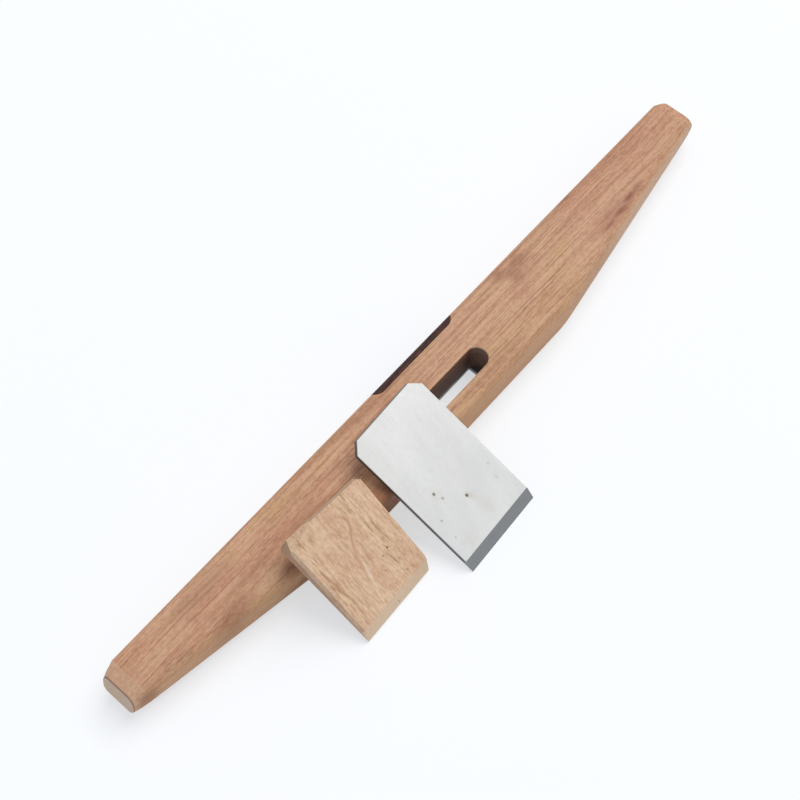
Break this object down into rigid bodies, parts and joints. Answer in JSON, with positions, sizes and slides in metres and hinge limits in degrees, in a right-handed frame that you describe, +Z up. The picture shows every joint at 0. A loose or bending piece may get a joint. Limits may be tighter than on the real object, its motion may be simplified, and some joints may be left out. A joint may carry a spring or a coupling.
{
  "type": "hand_tool",
  "caption": "Wooden spokeshave laid out in pieces: slender two-handled stock with an open throat, its steel iron and tan wedge leaning against the back.",
  "frame": {"origin": "On the flat sole, at mid-length, midway between the straight front face and the front wall of the throat.", "axes": "+X along the stock towards its right handle, +Y towards the straight front face, +Z up; the sole rests on z = 0."},
  "size_m": [0.333, 0.0713, 0.0366],
  "materials": {
    "stock_wood": "oiled",
    "insert_wood": "polished",
    "plate_steel": "ground",
    "screw_steel": "plain",
    "blade_steel": "ground",
    "wedge_wood": "oiled"
  },
  "bodies": {
    "stock": {"stock": "stock_wood", "front_insert": "insert_wood", "sole_plate": "plate_steel", "plate_screws": "screw_steel"},
    "blade": {"blade": "blade_steel"},
    "wedge": {"wedge": "wedge_wood"}
  },
  "joints": [
    {"name": "blade_slide", "type": "slide", "parent": "stock", "child": "blade", "axis": [-0.0378, 0.9021, 0.43], "range_m": [0, 0.04]},
    {"name": "wedge_slide", "type": "slide", "parent": "stock", "child": "wedge", "axis": [-0.0288, 0.825, 0.5644], "range_m": [0, 0.03]}
  ]
}
